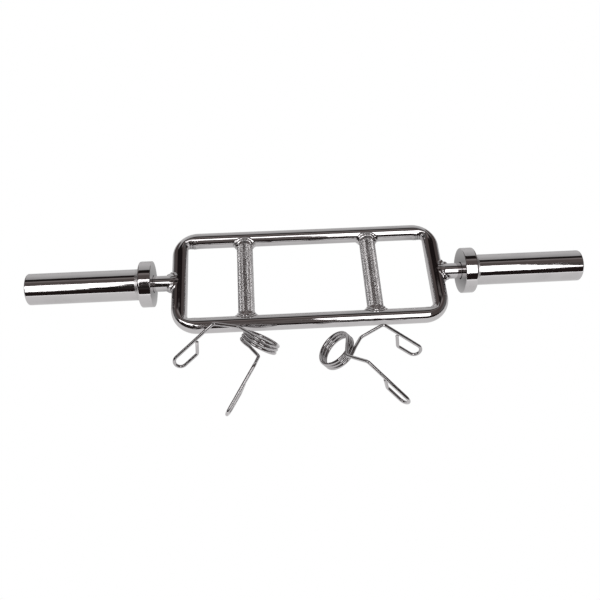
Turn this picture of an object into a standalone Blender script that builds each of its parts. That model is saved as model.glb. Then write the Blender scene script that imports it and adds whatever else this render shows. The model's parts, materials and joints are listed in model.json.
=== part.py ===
# Triceps bar: a welded rectangular frame with two knurled cross grips, a rotating plate
# sleeve on each end, and two sprung wire clips lying on the floor in front of it.
# Metres, +Z up, +X to the right along the bar. Run with: blender --background --python part.py

from math import asin, ceil, cos, pi, radians, sin, tan

import bmesh
import bpy
from mathutils import Matrix, Quaternion, Vector

# General
GAP = 0.0003                   # clearance between pieces that touch
ROUND_STEPS = 40               # facets round the visible turned pieces
HIDDEN_STEPS = 24              # facets round the pieces inside the sleeves
BEND_STEP = radians(15)        # turn of a bent bar or wire between two sections

# Frame, measured in its own plane on the centre lines of its bars
BAR_RADIUS = 0.0127            # one inch bar
FRAME_HALF_LENGTH = 0.2077     # bar centre to the short sides
FRAME_HALF_WIDTH = 0.0786      # bar centre to the long rails
FRAME_CORNER_RADIUS = 0.0296
BAR_SIDES = 20                 # facets round the bent bars

# Cross grips
GRIP_FROM_CENTRE = 0.1021
GRIP_RADIUS = 0.0132           # over the knurl
GRIP_END_SETBACK = 0.0045      # grip end, short of the rail's centre line

# Weld beads
GRIP_BEAD_RADIUS = 0.0030
SPINDLE_BEAD_RADIUS = 0.0042
SADDLE_FACTOR = 0.93           # how far round the bar a bead's saddle line runs
BEAD_OUTSET = 0.2              # bead centre outside the stub along the bar, in bead radii
BEAD_INSET = 0.6               # bead centre inside the stub across the bar, in bead radii
BEAD_POINTS = 28

# Collar, the fixed stop on the sleeve that plates rest against
COLLAR_RADIUS = 0.0370
COLLAR_FROM_CENTRE = 0.2491    # inner face
COLLAR_WIDTH = 0.0206
COLLAR_WEB = 0.0086            # wall that closes the collar towards the frame
COLLAR_BORE_CLEARANCE = 0.0015
COLLAR_EDGE = 0.0012

# Sleeve, the tube that plates slide onto
SLEEVE_RADIUS = 0.0250
SLEEVE_WALL = 0.0040
SLEEVE_LENGTH = 0.1882         # from its seat in the collar to its end
SLEEVE_EDGE = 0.0015

# Spindle and the running parts inside the sleeve
SPINDLE_RADIUS = 0.0127
JOURNAL_RADIUS = 0.0100        # turned down inside the sleeve
SPINDLE_EDGE = 0.0010
BUSH_LENGTH = 0.0250
THRUST_WASHER_THICKNESS = 0.0016
RETAINER_RADIUS = 0.0170
RETAINER_THICKNESS = 0.0032
BOLT_RADIUS = 0.0050
BOLT_LENGTH = 0.0220
BOLT_HEAD_RADIUS = 0.0085
BOLT_HEAD_HEIGHT = 0.0055
BOLT_HEAD_ROOM = 0.0009        # from the bolt's head to the cap
BOLT_HOLE_EXTRA = 0.0030       # depth left under the bolt's tip
CAP_THICKNESS = 0.0045
CAP_CROWN = 0.0008

# Spring clips, in a clip's own frame: +Z is the coil's axis, towards its near handle
WIRE_RADIUS = 0.0025
COIL_RADIUS = 0.0270           # centre line of the wire
COIL_PITCH = 0.00545
COIL_TURNS = 3                 # whole turns, before the two end angles
COIL_POINTS = 24               # points a turn
NEAR_END_ANGLE = radians(-84.0)
FAR_END_ANGLE = radians(-97.7)
LEAD_STRAIGHT = 0.0080         # wire still in line with the coil's end
LEAD_LENGTH = 0.0292           # coil end to the first bend
ARM_LENGTH = 0.0388            # first bend to the second
NEAR_HANDLE_LENGTH = 0.0839
FAR_HANDLE_LENGTH = 0.0778
LOOP_WIDTH = 0.0192            # finger loop, centre to centre
LOOP_RETURN = 0.0338
HOOK_LENGTH = 0.0208
SETTLE_STEPS = 12              # rounds of levelling a clip on its three feet
LEAD_BEND = 0.0150
ARM_BEND = 0.0065
HANDLE_BEND = 0.0060
HOOK_BEND = 0.0050

NEAR_WAYS = {"lead": (-1.00, -0.06, -0.04), "arm": (-0.46, -0.85, -0.26),
             "handle": (-0.30, -0.21, -0.93), "loop": (0.38, 0.87, -0.32),
             "hook": (-0.08, -0.50, 0.86)}
FAR_WAYS = {"lead": (0.99, -0.07, -0.16), "arm": (0.49, -0.86, -0.16),
            "handle": (0.05, -0.20, -0.98), "loop": (-0.38, 0.91, -0.20),
            "hook": (0.24, -0.52, 0.82)}

# Where each clip's coil lies: along the bar and ahead of the front rail, how the clip is
# turned (a rotation vector in degrees), and how far each handle is spread from mid.
RIGHT_CLIP_ALONG = 0.0301
RIGHT_CLIP_AHEAD = 0.0770
RIGHT_CLIP_TURN = (-32.1, -32.0, 67.0)
LEFT_CLIP_ALONG = -0.0824
LEFT_CLIP_AHEAD = 0.0532
LEFT_CLIP_TURN = (-43.3, 14.4, -46.5)
CLIP_SPREAD = radians(4.9)
CLIPS = {"right": (RIGHT_CLIP_ALONG, RIGHT_CLIP_AHEAD, RIGHT_CLIP_TURN, -CLIP_SPREAD),
         "left": (LEFT_CLIP_ALONG, LEFT_CLIP_AHEAD, LEFT_CLIP_TURN, CLIP_SPREAD)}

# The bar stands on its two collars and its front rail, so these two set the tilt.
BAR_HEIGHT = COLLAR_RADIUS
FRAME_TILT = asin((BAR_HEIGHT - BAR_RADIUS) / FRAME_HALF_WIDTH)
RAIL_AHEAD = FRAME_HALF_WIDTH * cos(FRAME_TILT)

# Places along one side of the bar, measured outwards from its middle
SEAT = COLLAR_FROM_CENTRE + COLLAR_WEB
SLEEVE_START = SEAT + GAP
SLEEVE_END = SLEEVE_START + SLEEVE_LENGTH
COLLAR_END = COLLAR_FROM_CENTRE + COLLAR_WIDTH
SLEEVE_BORE = SLEEVE_RADIUS - SLEEVE_WALL
SHOULDER = SLEEVE_START
WASHER_START = SHOULDER + GAP
INNER_BUSH_START = WASHER_START + THRUST_WASHER_THICKNESS + GAP
CAP_END = SLEEVE_END - SLEEVE_EDGE
CAP_START = CAP_END - CAP_THICKNESS
BOLT_HEAD_START = CAP_START - BOLT_HEAD_ROOM - BOLT_HEAD_HEIGHT
RETAINER_START = BOLT_HEAD_START - GAP - RETAINER_THICKNESS
JOURNAL_END = RETAINER_START - GAP
OUTER_BUSH_START = JOURNAL_END - BUSH_LENGTH


def clear_scene():
    for item in list(bpy.data.objects):
        bpy.data.objects.remove(item, do_unlink=True)


def make_collection(name):
    collection = bpy.data.collections.new(name)
    bpy.context.scene.collection.children.link(collection)
    return collection


def make_material(name, colour, roughness, metallic):
    material = bpy.data.materials.new(name)
    material.use_nodes = True
    shader = material.node_tree.nodes["Principled BSDF"]
    shader.inputs["Base Color"].default_value = (*colour, 1.0)
    shader.inputs["Roughness"].default_value = roughness
    shader.inputs["Metallic"].default_value = metallic
    material.diffuse_color = (*colour, 1.0)
    return material


clear_scene()
parts = make_collection("triceps_bar")
cutters = make_collection("cutters")
CHROME = make_material("chrome", (0.62, 0.61, 0.60), 0.08, 1.0)
KNURL = make_material("knurled_chrome", (0.48, 0.47, 0.46), 0.38, 1.0)
WELD = make_material("plated_weld", (0.55, 0.54, 0.53), 0.22, 1.0)
WIRE = make_material("spring_wire", (0.60, 0.59, 0.58), 0.12, 1.0)
STEEL = make_material("machined_steel", (0.45, 0.45, 0.46), 0.35, 1.0)
BRONZE = make_material("bush_bronze", (0.55, 0.38, 0.20), 0.40, 1.0)
PLASTIC = make_material("black_plastic", (0.02, 0.02, 0.02), 0.45, 0.0)


def place(name, data, material, parent, collection=parts):
    item = bpy.data.objects.new(name, data)
    collection.objects.link(item)
    item.parent = parent
    if material is not None:
        data.materials.append(material)
    return item


def make_empty(name, location, rotation=None, parent=None):
    item = bpy.data.objects.new(name, None)
    parts.objects.link(item)
    item.parent = parent
    item.location = location
    item.rotation_mode = "QUATERNION"
    if rotation is not None:
        item.rotation_quaternion = rotation
    return item


def rounded_path(corners, radii):
    """Corner points joined by straights, each inner corner rounded to its radius."""
    points = [corners[0].copy()]
    for before, corner, after, radius in zip(corners, corners[1:], corners[2:], radii):
        back = (before - corner).normalized()
        ahead = (after - corner).normalized()
        half = back.angle(ahead) / 2
        start = corner + back * (radius / tan(half))
        centre = corner + (back + ahead).normalized() * (radius / sin(half))
        sweep = pi - 2 * half
        steps = max(1, ceil(sweep / BEND_STEP - 0.001))
        arm = start - centre
        for step in range(steps + 1):
            angle = sweep * step / steps
            points.append(centre + arm * cos(angle) - back * (radius * sin(angle)))
    points.append(corners[-1].copy())
    return points


def tube_curve(name, points, radius, sides, material, parent, cyclic=False):
    """A round bar or wire along points, with flat closed ends."""
    curve = bpy.data.curves.new(name, "CURVE")
    curve.dimensions = "3D"
    curve.bevel_depth = radius
    curve.bevel_resolution = (sides - 4) // 2
    curve.use_fill_caps = not cyclic
    spline = curve.splines.new("POLY")
    spline.points.add(len(points) - 1)
    for slot, point in zip(spline.points, points):
        slot.co = (*point, 1.0)
    spline.use_cyclic_u = cyclic
    spline.use_smooth = True
    return place(name, curve, material, parent)


def to_mesh(item):
    """The same object as a mesh, with its caps welded, ready for a Boolean."""
    bpy.context.view_layer.update()
    ready = item.evaluated_get(bpy.context.evaluated_depsgraph_get())
    mesh = bpy.data.meshes.new_from_object(ready)
    shape = bmesh.new()
    shape.from_mesh(mesh)
    bmesh.ops.remove_doubles(shape, verts=shape.verts, dist=1e-6)
    shape.to_mesh(mesh)
    shape.free()
    solid = bpy.data.objects.new(item.name, mesh)
    parts.objects.link(solid)
    solid.parent = item.parent
    name = item.name
    bpy.data.objects.remove(item, do_unlink=True)
    solid.name = name
    return solid


def turned(name, profile, steps, material, parent, solid=False):
    """A profile of (radius, outward distance) swept round the parent's +Z axis."""
    mesh = bpy.data.meshes.new(name)
    points = [(radius, 0.0, out) for radius, out in profile]
    edges = [(k, k + 1) for k in range(len(points) - 1)]
    if not solid:
        edges.append((len(points) - 1, 0))
    mesh.from_pydata(points, edges, [])
    item = place(name, mesh, material, parent)
    screw = item.modifiers.new("turn", "SCREW")
    screw.axis = "Z"
    screw.steps = steps
    screw.render_steps = steps
    screw.use_smooth_shade = True
    screw.use_merge_vertices = solid
    screw.merge_threshold = 0.00001
    return item


def ring(name, bore, radius, start, length, steps, material, parent, edge=0.0):
    """A plain ring whose outer edges are taken off by edge."""
    end = start + length
    if edge:
        profile = [(bore, end), (radius - edge, end), (radius, end - edge),
                   (radius, start + edge), (radius - edge, start), (bore, start)]
    else:
        profile = [(bore, end), (radius, end), (radius, start), (bore, start)]
    return turned(name, profile, steps, material, parent)


def cutter_cylinder(name, radius, length, location, rotation, parent):
    mesh = bpy.data.meshes.new(name)
    shape = bmesh.new()
    bmesh.ops.create_cone(shape, cap_ends=True, segments=32, radius1=radius,
                          radius2=radius, depth=length)
    shape.to_mesh(mesh)
    shape.free()
    item = place(name, mesh, None, parent, cutters)
    item.location = location
    item.rotation_mode = "QUATERNION"
    item.rotation_quaternion = rotation
    item.display_type = "WIRE"
    item.hide_render = True
    return item


def cut(item, cutter):
    boolean = item.modifiers.new("cut_" + cutter.name, "BOOLEAN")
    boolean.operation = "DIFFERENCE"
    boolean.solver = "EXACT"
    boolean.object = cutter


def smooth(item, angle=35):
    item.data.shade_smooth()
    item.data.set_sharp_from_angle(angle=radians(angle))


# Spring clips: the wire's path

def coil_point(angle, rise):
    return Vector((COIL_RADIUS * cos(angle), COIL_RADIUS * sin(angle), rise))


def coil_way(angle):
    """Unit direction of the wire at an angle, as it climbs towards the near end."""
    climb = COIL_PITCH / (2 * pi)
    return Vector((COIL_RADIUS * sin(angle), -COIL_RADIUS * cos(angle), climb)).normalized()


def coil_path(spread):
    """The wound wire, far end to near end, with a straight of one diameter at each end."""
    near = NEAR_END_ANGLE - spread
    far = FAR_END_ANGLE + spread
    sweep = 2 * pi * COIL_TURNS - (near - far)
    rise = COIL_PITCH * sweep / (2 * pi)
    steps = round(COIL_POINTS * sweep / (2 * pi))
    points = [coil_point(far - sweep * k / steps, rise * (k / steps - 0.5))
              for k in range(steps + 1)]
    straight = 2 * WIRE_RADIUS
    points.insert(0, points[0] - coil_way(far) * straight)
    points.append(points[-1] + coil_way(near) * straight)
    return points


def leg_path(coil, ways, handle_length, spread):
    """A clip's arm, handle, finger loop and hook, from the coil's end outwards.

    coil is the coil's path ordered so that its last two points lie on this leg's lead."""
    turn = Matrix.Rotation(spread, 3, "Z")
    way = {name: (turn @ Vector(values)).normalized() for name, values in ways.items()}
    root = coil[-2]
    along = (coil[-1] - coil[-2]).normalized()
    first_bend = root + way["lead"] * LEAD_LENGTH
    second_bend = first_bend + way["arm"] * ARM_LENGTH
    loop_start = second_bend + way["handle"] * handle_length
    loop_end = loop_start + way["loop"] * LOOP_WIDTH
    hook_start = loop_end - way["handle"] * LOOP_RETURN
    hook_end = hook_start + way["hook"] * HOOK_LENGTH
    corners = [coil[-1] + along * GAP, root + along * LEAD_STRAIGHT, first_bend,
               second_bend, loop_start, loop_end, hook_start, hook_end]
    loop_bend = LOOP_WIDTH * 0.49
    return rounded_path(corners, [LEAD_BEND, ARM_BEND, HANDLE_BEND, loop_bend,
                                  loop_bend, HOOK_BEND])


def least_gap(points):
    """Smallest clearance between turns of the wire that are half a turn apart or more."""
    apart = COIL_POINTS // 2
    nearest = min((points[i] - points[j]).length
                  for i in range(len(points)) for j in range(i + apart, len(points)))
    return nearest - 2 * WIRE_RADIUS


def settled(paths, turn):
    """The rotation nearest to turn that stands a clip on the lowest point of each path."""
    for _ in range(SETTLE_STEPS):
        feet = [min((turn @ point for point in path), key=lambda p: p.z) for path in paths]
        normal = (feet[1] - feet[0]).cross(feet[2] - feet[0]).normalized()
        if normal.z < 0:
            normal.negate()
        turn = normal.rotation_difference(Vector((0, 0, 1))) @ turn
    return turn


def clip_shape(turn_degrees, spread):
    """The three wire paths of a clip and its rotation."""
    coil = coil_path(spread)
    near = leg_path(coil, NEAR_WAYS, NEAR_HANDLE_LENGTH, -spread)
    far = leg_path(coil[::-1], FAR_WAYS, FAR_HANDLE_LENGTH, spread)
    turn = Vector(turn_degrees)
    rough = Quaternion(turn.normalized(), radians(turn.length))
    return coil, near, far, settled((coil, near, far), rough)


shapes = {side: clip_shape(turn, spread)
          for side, (_, _, turn, spread) in CLIPS.items()}

# The origin is the middle of the whole part's footprint, so the bar's own line sits
# behind it by half the difference between the rear rail and the foremost wire.
rear_edge = RAIL_AHEAD + BAR_RADIUS
front_edge = min(-RAIL_AHEAD - CLIPS[side][1] - WIRE_RADIUS
                 + min((rotation @ point).y for path in paths for point in path)
                 for side, (*paths, rotation) in shapes.items())
BAR_Y = -(rear_edge + front_edge) / 2

# Frame
frame_axis = make_empty("frame_tilt", (0, BAR_Y, BAR_HEIGHT),
                        Quaternion((1, 0, 0), FRAME_TILT))
ALONG_X = Quaternion((0, 1, 0), pi / 2)
ALONG_Y = Quaternion((1, 0, 0), pi / 2)


def rail(name, side):
    """One bent half of the frame, from middle to middle of the short sides."""
    across = side * FRAME_HALF_WIDTH
    start = side * GAP / 2
    corners = [Vector((-FRAME_HALF_LENGTH, start, 0)), Vector((-FRAME_HALF_LENGTH, across, 0)),
               Vector((FRAME_HALF_LENGTH, across, 0)), Vector((FRAME_HALF_LENGTH, start, 0))]
    path = rounded_path(corners, [FRAME_CORNER_RADIUS] * 2)
    return tube_curve(name, path, BAR_RADIUS, BAR_SIDES, CHROME, frame_axis)


rail("front_rail", -1)
rail("rear_rail", 1)

bar_clear = BAR_RADIUS + GAP
rail_cutters = {side: cutter_cylinder(f"rail_clearance_{side}", bar_clear,
                                      2 * FRAME_HALF_LENGTH,
                                      (0, side * FRAME_HALF_WIDTH, 0), ALONG_X, frame_axis)
                for side in (-1, 1)}
side_cutters = {side: cutter_cylinder(f"side_clearance_{side}", bar_clear,
                                      FRAME_HALF_WIDTH,
                                      (side * FRAME_HALF_LENGTH, 0, 0), ALONG_Y, frame_axis)
                for side in (-1, 1)}


def saddle(stub_radius, bead):
    """Points of the line where a round stub meets the round bar, for a stub along +Z
    whose bar runs along Y through the origin."""
    reach = BAR_RADIUS * SADDLE_FACTOR
    across = stub_radius - bead * BEAD_INSET
    along = stub_radius + bead * BEAD_OUTSET
    for k in range(BEAD_POINTS):
        angle = 2 * pi * k / BEAD_POINTS
        height = (BAR_RADIUS ** 2 - (reach * cos(angle)) ** 2) ** 0.5
        yield Vector((across * cos(angle), along * sin(angle), height))


def weld(name, stub_radius, bead, parent, turn, bar_cutter, stub_cutter):
    """A bead round a stub's foot, hollowed out for the bar and the stub."""
    points = [turn(point) for point in saddle(stub_radius, bead)]
    item = to_mesh(tube_curve(name, points, bead, 6, WELD, parent, cyclic=True))
    smooth(item, 60)
    cut(item, bar_cutter)
    cut(item, stub_cutter)
    return item


# Cross grips, each coped over both rails
for side, label in ((-1, "left"), (1, "right")):
    x = side * GRIP_FROM_CENTRE
    mesh = bpy.data.meshes.new(f"{label}_grip")
    shape = bmesh.new()
    bmesh.ops.create_cone(shape, cap_ends=True, segments=28, radius1=GRIP_RADIUS,
                          radius2=GRIP_RADIUS,
                          depth=2 * (FRAME_HALF_WIDTH - GRIP_END_SETBACK))
    shape.to_mesh(mesh)
    shape.free()
    grip = place(f"{label}_grip", mesh, KNURL, frame_axis)
    grip.location = (x, 0, 0)
    grip.rotation_mode = "QUATERNION"
    grip.rotation_quaternion = ALONG_Y
    smooth(grip)
    grip_cutter = cutter_cylinder(f"{label}_grip_clearance", GRIP_RADIUS + GAP,
                                  2 * (FRAME_HALF_WIDTH + BAR_RADIUS), (x, 0, 0), ALONG_Y,
                                  frame_axis)
    for end, end_label in ((-1, "front"), (1, "rear")):
        cut(grip, rail_cutters[end])
        weld(f"{end_label}_{label}_grip_weld", GRIP_RADIUS, GRIP_BEAD_RADIUS, frame_axis,
             lambda p: Vector((x + p.y, end * (FRAME_HALF_WIDTH - p.z), p.x)),
             rail_cutters[end], grip_cutter)

# Spindles, sleeves and what runs inside them
for side, label in ((-1, "left"), (1, "right")):
    outward = Quaternion((0, 1, 0), side * pi / 2)
    axis = make_empty(f"{label}_bar_axis", (0, BAR_Y, BAR_HEIGHT), outward)
    hole = BOLT_RADIUS + GAP
    hole_end = JOURNAL_END - BOLT_LENGTH - BOLT_HOLE_EXTRA
    spindle = to_mesh(turned(
        f"{label}_spindle",
        [(0, hole_end), (hole, hole_end), (hole, JOURNAL_END),
         (JOURNAL_RADIUS - SPINDLE_EDGE, JOURNAL_END),
         (JOURNAL_RADIUS, JOURNAL_END - SPINDLE_EDGE), (JOURNAL_RADIUS, SHOULDER),
         (SPINDLE_RADIUS - SPINDLE_EDGE, SHOULDER), (SPINDLE_RADIUS, SHOULDER - SPINDLE_EDGE),
         (SPINDLE_RADIUS, FRAME_HALF_LENGTH + GAP), (0, FRAME_HALF_LENGTH + GAP)],
        32, STEEL, axis, solid=True))
    cut(spindle, side_cutters[side])
    spindle_cutter = cutter_cylinder(f"{label}_spindle_clearance", SPINDLE_RADIUS + GAP,
                                     2 * (SHOULDER - FRAME_HALF_LENGTH),
                                     (0, 0, FRAME_HALF_LENGTH), Quaternion(), axis)
    weld(f"{label}_spindle_weld", SPINDLE_RADIUS, SPINDLE_BEAD_RADIUS, frame_axis,
         lambda p: Vector((side * (FRAME_HALF_LENGTH + p.z), p.y, p.x)),
         side_cutters[side], spindle_cutter)

    web_bore = SPINDLE_RADIUS + COLLAR_BORE_CLEARANCE
    seat_radius = SLEEVE_RADIUS + GAP
    turned(f"{label}_collar",
           [(seat_radius, COLLAR_END), (COLLAR_RADIUS - COLLAR_EDGE, COLLAR_END),
            (COLLAR_RADIUS, COLLAR_END - COLLAR_EDGE),
            (COLLAR_RADIUS, COLLAR_FROM_CENTRE + COLLAR_EDGE),
            (COLLAR_RADIUS - COLLAR_EDGE, COLLAR_FROM_CENTRE),
            (web_bore + COLLAR_EDGE, COLLAR_FROM_CENTRE),
            (web_bore, COLLAR_FROM_CENTRE + COLLAR_EDGE),
            (web_bore, SEAT), (seat_radius, SEAT)],
           ROUND_STEPS, CHROME, axis)
    turned(f"{label}_sleeve",
           [(SLEEVE_BORE, SLEEVE_END), (SLEEVE_RADIUS - SLEEVE_EDGE, SLEEVE_END),
            (SLEEVE_RADIUS, SLEEVE_END - SLEEVE_EDGE), (SLEEVE_RADIUS, SLEEVE_START),
            (SLEEVE_BORE, SLEEVE_START)],
           ROUND_STEPS, CHROME, axis)
    ring(f"{label}_thrust_washer", JOURNAL_RADIUS + GAP, web_bore - GAP, WASHER_START,
         THRUST_WASHER_THICKNESS, HIDDEN_STEPS, STEEL, axis)
    for bush, start in (("inner", INNER_BUSH_START), ("outer", OUTER_BUSH_START)):
        ring(f"{label}_{bush}_bush", JOURNAL_RADIUS + GAP, SLEEVE_BORE - GAP, start,
             BUSH_LENGTH, HIDDEN_STEPS, BRONZE, axis)
    ring(f"{label}_retaining_washer", BOLT_RADIUS + GAP, RETAINER_RADIUS, RETAINER_START,
         RETAINER_THICKNESS, HIDDEN_STEPS, STEEL, axis)
    head_end = BOLT_HEAD_START + BOLT_HEAD_HEIGHT
    bolt_end = JOURNAL_END - BOLT_LENGTH
    turned(f"{label}_end_bolt",
           [(0, head_end), (BOLT_HEAD_RADIUS, head_end), (BOLT_HEAD_RADIUS, BOLT_HEAD_START),
            (BOLT_RADIUS, BOLT_HEAD_START), (BOLT_RADIUS, bolt_end), (0, bolt_end)],
           HIDDEN_STEPS, STEEL, axis, solid=True)
    cap_radius = SLEEVE_BORE - GAP
    turned(f"{label}_end_cap",
           [(0, CAP_END), (cap_radius * 0.6, CAP_END - CAP_CROWN * 0.3),
            (cap_radius, CAP_END - CAP_CROWN), (cap_radius, CAP_START), (0, CAP_START)],
           ROUND_STEPS, PLASTIC, axis, solid=True)

# Spring clips, each resting on the floor at the lowest point of its wire
for label, (along, ahead, _, _) in CLIPS.items():
    coil, near, far, rotation = shapes[label]
    lowest = min((rotation @ point).z for path in (coil, near, far) for point in path)
    centre = (along, BAR_Y - RAIL_AHEAD - ahead, WIRE_RADIUS - lowest)
    clip = make_empty(f"{label}_clip_axis", centre, rotation)
    tube_curve(f"{label}_clip_coil", coil, WIRE_RADIUS, 6, WIRE, clip)
    tube_curve(f"{label}_clip_near_handle", near, WIRE_RADIUS, 8, WIRE, clip)
    tube_curve(f"{label}_clip_far_handle", far, WIRE_RADIUS, 8, WIRE, clip)
    print(f"{label} clip: least gap between turns {least_gap(coil) * 1000:.2f} mm,"
          f" centre {[round(v, 5) for v in centre]},"
          f" axis {[round(v, 5) for v in rotation @ Vector((0, 0, 1))]}")

print(f"bar line at y {BAR_Y:.5f}, frame tilted {FRAME_TILT / pi * 180:.2f} degrees")
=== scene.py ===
# %% [markdown]
# A chromed triceps bar and its two spring clips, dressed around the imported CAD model.
# The CAD model says where every piece is, how large it is and how it moves. This script
# gives each piece its fine surface and its finish: bent chrome bars, knurled grips, weld
# beads, turned collars and sleeves, and wound spring wire. Most shapes here are grids of
# points worked out with numpy, so a piece is one formula carried along a path.

# %% Load the frame
import json
from math import asin, ceil, cos, pi, radians, sin, sqrt, tan

import bmesh
import bpy
import numpy as np
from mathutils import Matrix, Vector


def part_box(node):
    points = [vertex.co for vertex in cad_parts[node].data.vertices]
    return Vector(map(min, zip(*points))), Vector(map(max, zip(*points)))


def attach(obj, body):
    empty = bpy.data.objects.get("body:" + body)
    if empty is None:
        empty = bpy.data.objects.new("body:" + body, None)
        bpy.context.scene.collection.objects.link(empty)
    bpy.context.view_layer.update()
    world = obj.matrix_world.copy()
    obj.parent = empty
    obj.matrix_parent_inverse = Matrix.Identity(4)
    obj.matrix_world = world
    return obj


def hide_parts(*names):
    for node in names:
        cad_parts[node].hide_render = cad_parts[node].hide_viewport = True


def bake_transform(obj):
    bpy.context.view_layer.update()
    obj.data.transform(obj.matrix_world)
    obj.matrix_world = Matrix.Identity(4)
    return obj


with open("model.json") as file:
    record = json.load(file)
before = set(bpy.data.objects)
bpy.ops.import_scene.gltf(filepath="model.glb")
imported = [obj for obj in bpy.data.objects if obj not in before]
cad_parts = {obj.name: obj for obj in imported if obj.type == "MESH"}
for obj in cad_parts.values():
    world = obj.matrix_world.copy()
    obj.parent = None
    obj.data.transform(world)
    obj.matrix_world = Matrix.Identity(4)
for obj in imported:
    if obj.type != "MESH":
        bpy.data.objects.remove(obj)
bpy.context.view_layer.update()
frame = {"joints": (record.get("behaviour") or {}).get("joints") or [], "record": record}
JOINTS = {joint["name"]: joint for joint in frame["joints"]}
BODY_OF = {node: body for body, nodes in frame["record"]["behaviour"]["bodies"].items()
           for node in nodes}
SIDES = {"left": -1, "right": 1}

# %% [markdown]
# The bar lies along X. Its rectangular frame leans: the two collars carry the bar's middle
# line at their own radius, and the front rail drops until it lies on the floor. Places that
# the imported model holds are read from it; the few sizes of the bent frame that a box can't
# tell are repeated here in metres, as the part's source has them.

# %% Sizes of the bar and its frame
BAR_RADIUS = 0.0127            # one inch bar
FRAME_HALF_LENGTH = 0.2077     # bar centre to the short sides
FRAME_HALF_WIDTH = 0.0786      # bar centre to the long rails
FRAME_CORNER_RADIUS = 0.0296
GRIP_FROM_CENTRE = 0.1021
GRIP_RADIUS = 0.0132           # over the knurl
GRIP_END_SETBACK = 0.0045      # grip end, short of the rail's centre line
BAR_Y, BAR_HEIGHT = JOINTS["right_sleeve_spin"]["pos_m"][1:]
FRAME_TILT = asin((BAR_HEIGHT - BAR_RADIUS) / FRAME_HALF_WIDTH)


def in_frame(points):
    """Points of the leaning frame in the part's own frame.

    A point is (along X, across the frame, up from its plane); across and up turn about X by
    the tilt, and the middle of the frame goes to the bar's line."""
    along, across, up = np.moveaxis(np.asarray(points, float), -1, 0)
    return np.stack([along,
                     BAR_Y + across * cos(FRAME_TILT) - up * sin(FRAME_TILT),
                     BAR_HEIGHT + across * sin(FRAME_TILT) + up * cos(FRAME_TILT)], axis=-1)


def turned_extent(node):
    """Inner end, outer end and radius of a turned piece, its ends measured out from the
    middle of the bar."""
    low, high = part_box(node)
    return min(abs(low.x), abs(high.x)), max(abs(low.x), abs(high.x)), (high.z - low.z) / 2


print(f"bar line at y {BAR_Y:.4f}, {BAR_HEIGHT:.4f} high, frame leaning "
      f"{FRAME_TILT / pi * 180:.1f} degrees")

# %% [markdown]
# A grid of points becomes a mesh by joining neighbours into quads. Rows run along a piece and
# columns run round it, so the last column always joins the first. A closed outline, such as
# a ring's, also joins its last row to its first. Where a row's points all fall together, as
# at the middle of an end face, merging doubles closes the pole. Filling the arrays with
# foreach_set is much faster than adding vertices one at a time.

# %% Grid to mesh
MERGE_DISTANCE = 1e-7
EDGE_ANGLE = radians(38)       # edges that turn more than this stay crisp


def placed_object(name, data):
    """An object in the scene that shows this mesh or camera."""
    made = bpy.data.objects.new(name, data)
    bpy.context.scene.collection.objects.link(made)
    return made


def make_piece(name, points, finish, ring=False):
    """A closed, outward-facing mesh through a grid of points (rows, columns, 3)."""
    rows, columns = points.shape[:2]
    index = np.arange(rows * columns).reshape(rows, columns)
    if ring:
        index = np.concatenate([index, index[:1]])
    beside = np.roll(index, -1, axis=1)
    quads = np.stack([index[:-1], beside[:-1], beside[1:], index[1:]], axis=-1).reshape(-1, 4)
    mesh = bpy.data.meshes.new(name)
    mesh.vertices.add(rows * columns)
    mesh.vertices.foreach_set("co", points.astype(np.float32).ravel())
    mesh.loops.add(quads.size)
    mesh.loops.foreach_set("vertex_index", quads.astype(np.int32).ravel())
    mesh.polygons.add(len(quads))
    mesh.polygons.foreach_set("loop_start", np.arange(0, quads.size, 4, dtype=np.int32))
    mesh.update(calc_edges=True)
    shape = bmesh.new()
    shape.from_mesh(mesh)
    bmesh.ops.remove_doubles(shape, verts=shape.verts, dist=MERGE_DISTANCE)
    bmesh.ops.recalc_face_normals(shape, faces=shape.faces)
    shape.to_mesh(mesh)
    shape.free()
    mesh.shade_smooth()
    mesh.set_sharp_from_angle(angle=EDGE_ANGLE)
    mesh.materials.append(finish)
    return placed_object(name, mesh)


def stand_in(piece, node):
    """The piece takes a CAD node's place: it rides the node's body, and the node is hidden."""
    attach(piece, BODY_OF[node])
    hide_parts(node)
    return piece


print("grid helper ready")

# %% [markdown]
# Everything bent on this object is a round bar or wire: straight runs joined by arcs. A
# Blender curve with a round bevel could be such a bar, but its section stays round, and the
# frame's is crushed in the corners, so the bars are swept here. The path below carries two
# directions square to the bar along with it, and turns them about each corner's own axis by
# the bar's own angle. That keeps the section from twisting, and it also says which side of a
# bend is its inside, which the frame's corners need later.

# %% Bent bars


def unit(vectors):
    """Each vector divided by its own length."""
    vectors = np.asarray(vectors, float)
    return vectors / np.linalg.norm(vectors, axis=-1, keepdims=True)


def turned_about(vector, axis, angles):
    """Rodrigues' formula: v cos a + (k x v) sin a + k (k . v)(1 - cos a), for each angle a."""
    angles = np.asarray(angles)[:, None]
    return (vector * np.cos(angles) + np.cross(axis, vector) * np.sin(angles)
            + axis * (axis @ vector) * (1 - np.cos(angles)))


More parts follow.
